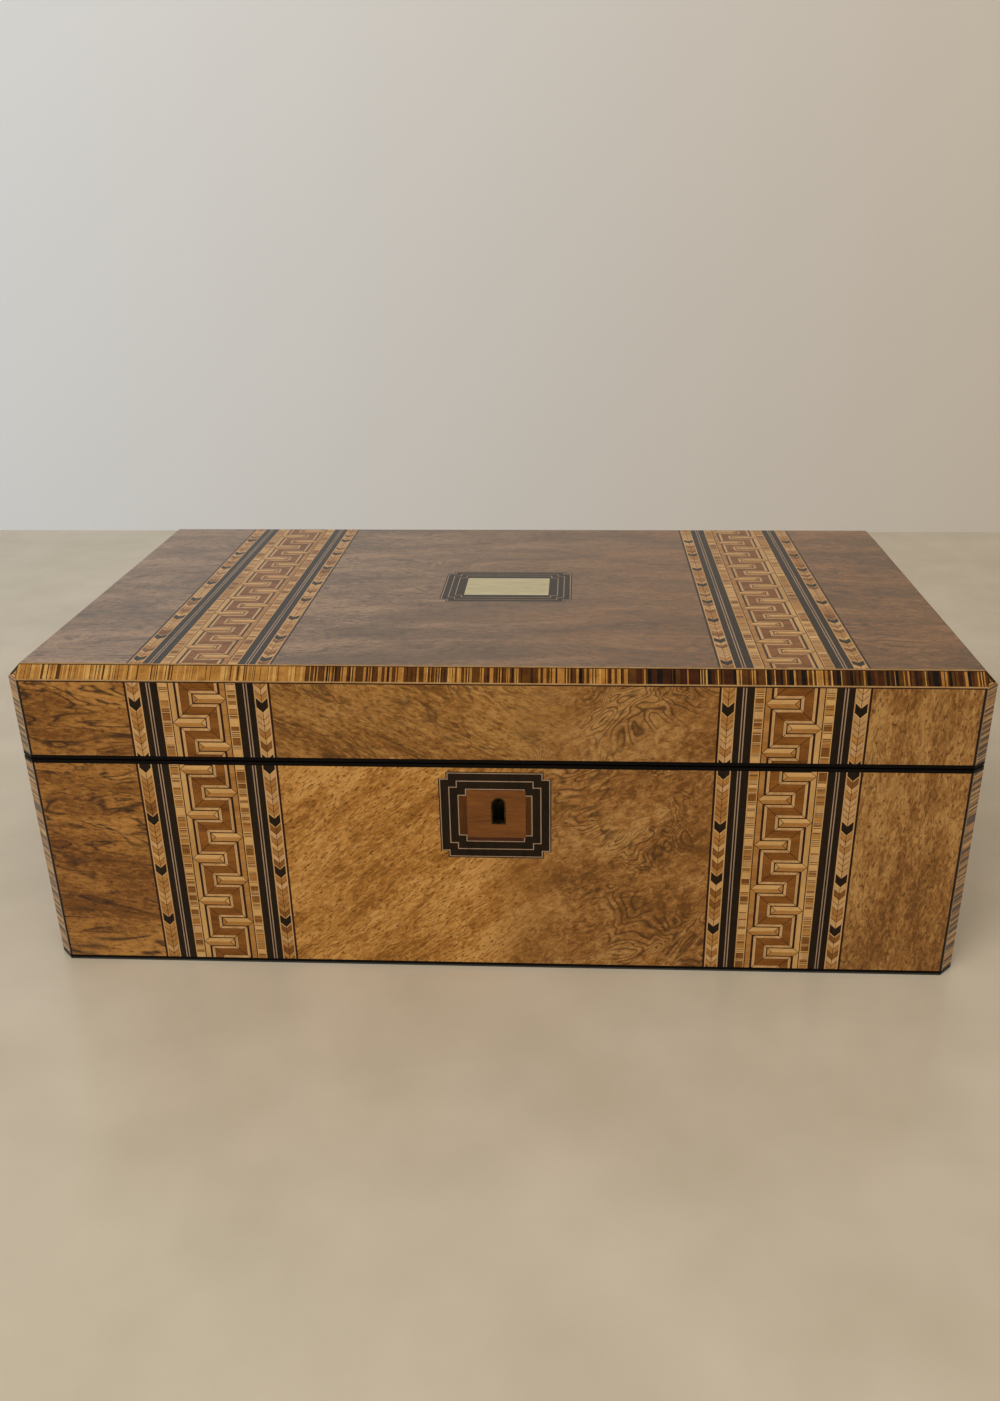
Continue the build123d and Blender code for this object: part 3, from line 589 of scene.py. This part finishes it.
def key_core(start, end, first, outer):
    """The Greek key: two combs with fingers, and the ribbon that winds between them."""
    bm = bmesh.new()
    first_count = math.floor((start - first) / key_pitch) - 1
    last_count = math.ceil((end - first) / key_pitch) + 1
    fingers = []
    for count in range(first_count, last_count + 1):
        fingers.append((first + count * key_pitch, outer))
        fingers.append((first + (count + 0.5) * key_pitch, -outer))

    depths = (0, line_depth, holly_depth, rose_depth)
    columns = [-finger_mitre, bar_edge, core_edge]
    columns += [depth - finger_end for depth in depths]
    columns += [core_half - depth for depth in depths]
    rows = [0] + [side * (finger_half + depth) for depth in depths for side in (-1, 1)]
    across = sorted({snapped(side * column) for column in columns for side in (-1, 1)})
    along = sorted({snapped(middle + row) for middle, _ in fingers for row in rows})

    def comb_distance(u, w):
        """How far a point is from the nearer comb, measured square."""
        nearest = core_half - abs(u)
        for middle, side in fingers:
            nearest = min(nearest, max(abs(w - middle) - finger_half, finger_end - u * side))
        return nearest

    def wood_at(u, w):
        for middle, side in fingers:
            beside = abs(w - middle)
            if beside > finger_half or u * side < finger_end:
                continue
            if u * side <= core_half:
                if u * side - finger_end < finger_half - beside:
                    return BOX_UP if side == outer else SATIN
                return BOX if w > middle else SATIN
            if u * side - bar_edge < (finger_half - beside) * 1.1:
                return BOX if w > middle else SATIN
        if abs(u) > bar_edge:
            return BOX_UP if u * outer > 0 else SATIN
        away = comb_distance(u, w)
        if away < line_depth:
            return LINE
        if away < holly_depth:
            return HOLLY
        if away < rose_depth:
            return ROSE
        return RIBBON

    corners = cut_sheet(bm, across, along)
    corner_at = {(across[i], along[j]): vertex for (i, j), vertex in corners.items()}
    for middle, side in fingers:
        for part in (-1, 1):
            edge = snapped(middle + part * finger_half)
            tip = snapped(middle)
            for wide, point in ((finger_end, finger_mitre), (bar_edge, core_edge)):
                a = corner_at[snapped(side * wide), edge]
                b = corner_at[snapped(side * point), tip]
                bmesh.ops.connect_verts(bm, verts=[a, b])
    give_woods(bm, wood_at)
    mitre_start = line_depth - finger_end
    mitre_end = core_half - line_depth
    mitre_run = mitre_end - mitre_start + line_depth
    for middle, side in fingers:
        for part in (-1, 1):
            edge = middle + part * finger_half
            glue_line(bm, (side * bar_edge, edge), (side * (core_edge - 0.1), middle))
            glue_line(bm, (side * finger_end, edge), (side * finger_mitre, middle))
            glue_line(
                bm, (-side * mitre_start, edge + part * line_depth),
                (-side * mitre_end, edge + part * mitre_run),
            )
    clip_sheet(bm, start, end)
    return bm


def feather_strip(start, end, first_arrow, inner, beyond, seed):
    """Chevrons pointing down: dark arrowheads with tinted feathers between them."""
    bm = bmesh.new()
    tint = random.Random(seed)
    shades = [SATIN, SATIN, HOLLY, BOX_UP, SATIN, TULIP, HOLLY]
    length = (arrow_pitch - 2 * arrow_edge) / feather_count
    along = []
    woods = []
    arrow = first_arrow - math.ceil((first_arrow - start) / arrow_pitch + 1) * arrow_pitch
    while arrow < end + arrow_pitch:
        along += [arrow - arrow_edge, arrow - arrow_half, arrow + arrow_half, arrow + arrow_edge]
        woods += [BOX, EBONY, BOX]
        for count in range(1, feather_count):
            top = arrow + arrow_edge + count * length
            along += [top - feather_line, top]
            woods += [tint.choice(shades), LINE]
        woods.append(tint.choice(shades))
        arrow += arrow_pitch
    middle = (inner + beyond) / 2
    across = sorted([inner, middle - spine_half, middle + spine_half, beyond])
    spans = list(zip(along, along[1:], woods))

    def wood_at(u, w):
        wood = next((wood for low, high, wood in spans if low <= w <= high), BOX)
        if abs(u - middle) < spine_half and wood != EBONY:
            return ROSE
        return wood

    corners = cut_sheet(bm, across, along)
    give_woods(bm, wood_at)
    dipped = [vertex for (i, _), vertex in corners.items() if i in (1, 2)]
    bmesh.ops.translate(bm, vec=(0, -arrow_dip * MM, 0), verts=dipped)
    clip_sheet(bm, start, end)
    return bm


def ladder_strip(start, end, inner, beyond, seed):
    """Cross-grained blocks of many woods between two pale strings."""
    bm = bmesh.new()
    chance = random.Random(seed)
    along = [start]
    woods = []
    while along[-1] < end:
        block = chance.choice((BOX, SATIN, TULIP, HOLLY, SATIN))
        group = [(block, chance.uniform(1.0, 3.8))]
        for _ in range(chance.randint(1, 4)):
            group.append((ROSE, chance.uniform(0.2, 0.4)))
            group.append((chance.choice((BOX, SATIN, HOLLY)), chance.uniform(0.35, 0.7)))
        for wood, length in group:
            if along[-1] < end:
                along.append(min(along[-1] + length, end))
                woods.append(wood)
    if along[-1] - along[-2] < 0.01:
        along.pop(-2)
        woods.pop()
    low, high = sorted((inner, beyond))
    across = [low, low + ladder_string, high - ladder_string, high]
    spans = list(zip(along, along[1:], woods))

    def wood_at(u, w):
        if u < low + ladder_string or u > high - ladder_string:
            return BOX_UP
        return next((wood for a, b, wood in spans if a <= w <= b), BOX)

    cut_sheet(bm, across, along)
    give_woods(bm, wood_at)
    return bm


def plain_strips(start, end):
    """The ebony strips and the straight strings of both halves of a band."""
    bm = bmesh.new()
    for beyond, inner, _ in straight_strips:
        for side in (-1, 1):
            cut_sheet(bm, sorted((side * beyond, side * inner)), [start, end])
    give_woods(
        bm, lambda u, w: next(
            wood for beyond, inner, wood in straight_strips if inner < abs(u) < beyond
        )
    )
    return bm


def key_band(name, body, stand_for, start, end, first_finger, first_arrow, lay, seed, woods):
    """Both bands of one face, laid by a matrix for each side and given the veneer's thickness."""
    whole = bmesh.new()
    for side in (-1, 1):
        sheets = [key_core(start, end, first_finger, side), plain_strips(start, end)]
        for half in (-1, 1):
            feather_seed = seed + side + 3 * half
            feather_place = (half * feather_start, half * feather_end)
            ladder_place = (half * ladder_start, half * ladder_end)
            sheets.append(feather_strip(start, end, first_arrow, *feather_place, feather_seed))
            sheets.append(ladder_strip(start, end, *ladder_place, feather_seed + 7))
        for sheet in sheets:
            laid = bpy.data.meshes.new("laid")
            sheet.to_mesh(laid)
            sheet.free()
            laid.transform(lay(side))
            whole.from_mesh(laid)
            bpy.data.meshes.remove(laid)
    bmesh.ops.solidify(whole, geom=whole.faces[:], thickness=veneer_thickness * MM)
    band = piece_from(whole, name, woods)
    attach(band, body)
    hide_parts(*stand_for)


def on_front(side):
    """Lays a sheet on the front face, in the band of one side."""
    turn = Matrix.Rotation(math.pi / 2, 4, "X")
    return Matrix.Translation((side * band_middle * MM, -half_depth * MM, 0)) @ turn


def on_top(side):
    """Lays a sheet on the lid's top, in the band of one side."""
    return Matrix.Translation((side * band_middle * MM, 0, box_height * MM))


key_band(
    "base_front_bands", "base", ["base_key_combs", "base_key_meanders", "base_band_strips"],
    start=2.2, end=99.1, first_finger=10.6, first_arrow=23.6,
    lay=on_front, seed=11, woods=front_mosaic,
)
key_band(
    "lid_front_bands", "lid", ["lid_key_combs", "lid_key_meanders", "lid_band_strips"],
    start=102.9, end=136.0, first_finger=118.3, first_arrow=127.7,
    lay=on_front, seed=23, woods=front_mosaic,
)
key_band(
    "lid_top_bands", "lid", ["lid_key_combs"],
    start=-flat_half_depth, end=flat_half_depth, first_finger=-84.2, first_arrow=-96.1,
    lay=on_top, seed=37, woods=top_mosaic,
)


# Cross-banded edges
# Strips of striped tulipwood with the grain across, on the canted corners and
# round the lid's top, between a pale string and a dark one.
def square_cuts(axis, places_mm):
    """Cutting planes square to an axis, at places in millimetres."""
    normal = tuple(int(axis == one) for one in (ACROSS, BACK, UP))
    return [(tuple(place * MM * n for n in normal), normal) for place in places_mm]


def sliced_node(name, planes, wood_at, materials, body):
    """A copy of a CAD node cut along planes, each face then given its wood by its middle."""
    bm = bmesh.new()
    bm.from_mesh(nodes[name].data)
    bmesh.ops.remove_doubles(bm, verts=bm.verts[:], dist=1e-6)
    bmesh.ops.dissolve_limit(bm, angle_limit=0.01, verts=bm.verts[:], edges=bm.edges[:])
    for point, normal in planes:
        bmesh.ops.bisect_plane(
            bm, geom=bm.verts[:] + bm.edges[:] + bm.faces[:], dist=1e-7,
            plane_co=point, plane_no=normal,
        )
    for face in bm.faces:
        face.material_index = wood_at(face.calc_center_median() / MM)
    made = piece_from(bm, name + "_dressed", materials)
    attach(made, body)
    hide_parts(name)


def stripe_row(start, end, seed, palette):
    """Stripes of random width and wood from start to end."""
    chance = random.Random(seed)
    marks = [start]
    woods = []
    while marks[-1] < end:
        wood, width = chance.choice(palette)
        marks.append(marks[-1] + width * chance.uniform(0.7, 1.4))
        woods.append(wood)
    return marks, woods


def stripe_wood(marks, woods, place):
    """The wood of the stripe at a place."""
    return next((wood for low, wood in zip(marks[1:], woods) if place < low), woods[-1])


def banding_woods(place, coat):
    """Woods of the striped edges: two pale, three dark, and the string and the line beside them."""
    recipes = [
        ("gold", "#AE7C3A", "#84541F"), ("straw", "#C49A58", "#A07234"),
        ("brown", "#5C3710", "#3C2208"), ("red", "#43200C", "#2A1305"),
        ("black", "#1A150C", "#0D0A05"), ("string", "#A88456", "#8A683C"),
        ("line", "#341A07", "#1E0D03"),
    ]
    return [
        polished_wood(
            f"{wood}_{place}", pale, deep, ACROSS, 0.5, length=1, shine=0.4, coat=coat, gloss=0.05
        )
        for wood, pale, deep in recipes
    ]


GOLD, STRAW, BROWN, RED, BLACK, STRING, EDGE = range(7)
left_palette = [
    (GOLD, 0.6), (GOLD, 1.0), (STRAW, 0.4), (STRAW, 0.7), (BROWN, 0.25), (BROWN, 0.45),
    (GOLD, 0.4),
]
middle_palette = [
    (BROWN, 0.6), (BROWN, 1.0), (GOLD, 0.4), (GOLD, 0.7), (RED, 0.5), (STRAW, 0.3),
    (BLACK, 0.3),
]
right_palette = [
    (BROWN, 0.8), (BROWN, 0.5), (RED, 0.8), (RED, 1.3), (GOLD, 0.5), (STRAW, 0.3),
    (BLACK, 0.5), (BLACK, 1.3), (BROWN, 1.1),
]
pale_end = -75
mixed_end = 60
edge_left, wood_left = stripe_row(-half_width, pale_end, 3, left_palette)
edge_middle, wood_middle = stripe_row(edge_left[-1], mixed_end, 4, middle_palette)
edge_right, wood_right = stripe_row(edge_middle[-1], half_width, 5, right_palette)
edge_marks = edge_left + edge_middle[1:] + edge_right[1:]
edge_woods = wood_left + wood_middle + wood_right
side_marks, side_woods = stripe_row(-half_depth, half_depth, 9, right_palette + left_palette)

# Heights of the dark lines and the pale strings along the lid's edge.
low_line_end = box_height - cant + 0.4
low_string_end = box_height - cant + 0.85
high_line_start = box_height - 0.6
high_string_start = box_height - 0.35
past_mitre = 2


def edge_wood(middle):
    """Wood of the lid's edge: front and back have one row of stripes, both sides the other."""
    if middle.z < low_line_end or high_line_start < middle.z < high_string_start:
        return EDGE
    if middle.z < low_string_end or middle.z > high_string_start:
        return STRING
    x, y = abs(middle.x), abs(middle.y)
    between_posts = y > flat_half_depth - 0.5 and x + y < flat_half_width + half_depth + 0.2
    if between_posts and y - flat_half_depth >= x - flat_half_width:
        return stripe_wood(edge_marks, edge_woods, middle.x)
    return stripe_wood(side_marks, side_woods, middle.y)


edge_planes = square_cuts(ACROSS, [x for x in edge_marks if abs(x) < flat_half_width + past_mitre])
edge_planes += square_cuts(BACK, [y for y in side_marks if abs(y) < flat_half_depth + past_mitre])
edge_planes += square_cuts(
    UP, [low_line_end, low_string_end, high_string_start, high_line_start]
)
sliced_node(
    "lid_edge_bandings", edge_planes, edge_wood, banding_woods("edge", 0.0), "lid"
)

post_line_end = 0.6
post_string_end = 1.0
post_marks, post_woods = stripe_row(0, box_height, 13, left_palette + right_palette[:5])
post_planes = square_cuts(UP, [z for z in post_marks if 0 < z < box_height])
diagonal = math.sqrt(0.5)
for strip_edge in (post_line_end, post_string_end):
    for sx in (-1, 1):
        for sy in (-1, 1):
            corner = Vector((sx * flat_half_width, sy * half_depth, 0))
            inward = Vector((sx, -sy, 0)) * diagonal
            post_planes.append(((corner + inward * strip_edge) * MM, inward))


def post_wood(middle):
    """Wood of a corner post, whose dark line and pale string are beside the front or back."""
    from_face = (abs(middle.x) - flat_half_width + half_depth - abs(middle.y)) * diagonal
    if from_face < post_line_end:
        return EDGE
    if from_face < post_string_end:
        return STRING
    return stripe_wood(post_marks, post_woods, middle.z)


polished_post_woods = banding_woods("post", 0.8)
sliced_node(
    "base_corner_bandings", post_planes, post_wood, polished_post_woods, "base"
)
sliced_node("lid_corner_bandings", post_planes, post_wood, polished_post_woods, "lid")


# Escutcheon
# An ebony frame with three nested strings whose corners step in, round a padauk
# tablet with darker wood beside it. A brass liner guards the keyhole.
string_width = 0.4
frame_middle = 76.8
tablet_half = 12


def stepped_ring(width, height, step_u, step_v, middle):
    """A rectangle with stepped corners, as a test and its cut lines in both directions."""
    def inside(u, v):
        u, v = abs(u), abs(v - middle)
        in_corner = u > width / 2 - step_u and v > height / 2 - step_v
        return u < width / 2 and v < height / 2 and not in_corner

    us = [s * u for s in (-1, 1) for u in (width / 2, width / 2 - step_u)]
    vs = [middle + s * v for s in (-1, 1) for v in (height / 2, height / 2 - step_v)]
    return inside, us, vs


def stepped_strings(width, height, step_u, step_v, insets, middle=0):
    """Nested strings: a test pair for each string's outer and inner side, and all cut lines."""
    strings = []
    all_us, all_vs = set(), set()
    for inset in insets:
        sides = []
        for drawn_in in (inset, inset + string_width):
            test, us, vs = stepped_ring(
                width - 2 * drawn_in, height - 2 * drawn_in, step_u, step_v, middle
            )
            sides.append(test)
            all_us.update(us)
            all_vs.update(vs)
        strings.append(sides)
    return strings, sorted(all_us), sorted(all_vs)


def on_string(strings, u, v):
    """Whether a point lies on one of the strings."""
    return any(outside(u, v) and not within(u, v) for outside, within in strings)


FRAME, FRAME_STRING, FRAME_ENDS, FRAME_MIDDLE = range(4)
frame_strings, frame_xs, frame_zs = stepped_strings(
    47, 41, 3.2, 2.9, (0.45, 4.15, 7.9), frame_middle
)
padauk = polished_wood("padauk", "#7E4A18", "#5C320C", ACROSS, 0.8, length=10, relief=0.08)
padauk_dark = polished_wood("padauk_dark", "#4A200A", "#321406", ACROSS, 0.8, length=10)
frame_woods = [front_mosaic[EBONY], front_mosaic[GREY], front_mosaic[ROSE], padauk_dark]


def frame_wood(middle):
    """Wood of the escutcheon's frame: its strings, and what lies beside the tablet."""
    if on_string(frame_strings, middle.x, middle.z):
        return FRAME_STRING
    if frame_strings[-1][1](middle.x, middle.z):
        return FRAME_ENDS if abs(middle.x) > tablet_half else FRAME_MIDDLE
    return FRAME


frame_planes = square_cuts(ACROSS, frame_xs) + square_cuts(UP, frame_zs)
sliced_node("escutcheon_frame", frame_planes, frame_wood, frame_woods, "base")
dress(padauk, "escutcheon_tablet")


# Plaque
# A plate of bone let into an ebony frame, with the same three stepped strings.
plaque_strings, plaque_xs, plaque_ys = stepped_strings(62, 47, 3.2, 3.2, (0.6, 3.6, 6.6))


def plaque_frame_wood(middle):
    """Wood of the plaque's frame."""
    return FRAME_STRING if on_string(plaque_strings, middle.x, middle.y) else FRAME


plaque_planes = square_cuts(ACROSS, plaque_xs) + square_cuts(BACK, plaque_ys)
plaque_woods = [top_mosaic[EBONY], top_mosaic[GREY]]
sliced_node("plaque_frame", plaque_planes, plaque_frame_wood, plaque_woods, "lid")
bone = polished_wood(
    "polished_bone", "#BEB384", "#A89C6E", ACROSS, 2.5,
    length=5, shine=0.2, coat=0.5, relief=0.02,
)
dress(bone, "plaque")


# Brass and steel
# Cast and rolled brass for the lock, hinges, screws and inkwells, gone brown
# with age, with steel pins, bolt and lever.
def old_metal(name, bright, dull, shine):
    """Metal with patches of tarnish a few millimetres wide."""
    material, tree = empty_material(name)
    patches = noise(tree, object_places(tree, (6, 6, 6)), 6)
    surface(tree, {
        "Base Color": tone_ramp(tree, patches, [(0.35, dull), (0.65, bright)]),
        "Metallic": 1.0,
        "Roughness": mapped(tree, patches, 0, 1, shine + 0.12, shine - 0.05),
    })
    return material


brass = old_metal("aged_brass", "#C9A45A", "#8A6A34", 0.32)
steel = old_metal("dull_steel", "#8E8B86", "#5E5A55", 0.4)
# Near-black brass for the keyhole liner and the lock case behind it: painted shade of the keyhole's
# depth, with patches of tarnish.
brass_in_painted_shade = old_metal("brass_in_painted_shade", "#54462C", "#191309", 0.6)
dress(brass_in_painted_shade, "keyhole_liner", "lock_case")
dress(brass, "lock_face_plate", "lock_striker", "hinge_base_leaves", "hinge_lid_leaves")
dress(brass, "base_screws", "lid_screws", "base_flap_pivots", "lid_flap_pivots", "inkwell_collars")
dress(brass, "inkwell_cap_left", "inkwell_cap_right")
dress(steel, "lock_bolt", "lock_lever", "hinge_pins")


# Flaps, dividers and pen tray
# Waxed mahogany, cut along the grain from side to side or from front to back.
mahogany = polished_wood(
    "waxed_mahogany", "#6E3418", "#48200E", ACROSS, 1.2, shine=0.42, coat=0.05
)
mahogany_deep = polished_wood(
    "waxed_mahogany_side", "#6E3418", "#48200E", BACK, 1.2, shine=0.42, coat=0.05
)
dress(mahogany, "base_flap_board", "lid_flap_board", "pen_divider", "pen_tray")
dress(mahogany_deep, "base_flap_bearers", "lid_flap_bearers", "cell_partitions", "tray_bearers")


# Writing leather
# A thin skiver glued on each flap, with two tooled lines of gold near its edge,
# further in on the side of the pivots.
skiver, tree = empty_material("skiver")
# Thin red-brown sheepskin with a pebbled grain, worn paler in patches.
pebbles = add_node(
    tree, "ShaderNodeTexVoronoi", {"Vector": object_places(tree, (1.2, 1.2, 1.2)), "Scale": 1}
)
wear = noise(tree, object_places(tree, (35, 35, 35)), 5)
surface(tree, {
    "Base Color": tone_ramp(tree, wear, [(0.35, "#4E1410"), (0.7, "#6E2418")]),
    "Roughness": 0.5,
    "Normal": bumped(tree, pebbles.outputs["Distance"], 0.25, 0.3),
})
gilt = old_metal("gilt_line", "#D9B45A", "#A07C34", 0.35)
HIDE, GILT = range(2)
gilt_lines = ((6, 7), (10, 10.5))
pivot_margin = 10


def tool_leather(flap):
    """Cuts a flap's leather along its tooled lines and gilds what lies between them."""
    low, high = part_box(flap + "_leather")
    x_edge, y_front, y_back = high[0] / MM, low[1] / MM + pivot_margin, high[1] / MM
    planes = []
    for inset in sum(gilt_lines, ()):
        planes += square_cuts(ACROSS, [inset - x_edge, x_edge - inset])
        planes += square_cuts(BACK, [y_front + inset, y_back - inset])

    def leather_at(middle):
        from_edge = min(x_edge - abs(middle.x), middle.y - y_front, y_back - middle.y)
        return GILT if any(near < from_edge < far for near, far in gilt_lines) else HIDE

    sliced_node(flap + "_leather", planes, leather_at, [skiver, gilt], flap)


tool_leather("base_flap")
tool_leather("lid_flap")


# Inkwells
# Square bottles of clear pressed glass under hinged brass caps.
bottle_glass, tree = empty_material("bottle_glass")
surface(tree, {
    "Base Color": linear("#E4F0EC"), "Roughness": 0.04, "IOR": 1.5, "Transmission Weight": 1.0,
})
dress(bottle_glass, "inkwell_bottles")


# Baize
# A sheet of dark baize glued under the box.
baize_middle = 0.4
baize, tree = empty_material("worn_baize")
nap = noise(tree, object_places(tree, (0.9, 0.9, 0.9)), 4)
surface(tree, {
    "Base Color": tone_ramp(tree, nap, [(0.3, "#15130E"), (0.7, "#2C2A20")]),
    "Roughness": 0.95, "Sheen Weight": 0.3,
    "Normal": bumped(tree, nap, 0.5, 0.4),
})
sliced_node(
    "base_baize", square_cuts(UP, [baize_middle]), lambda middle: 0, [baize], "base"
)
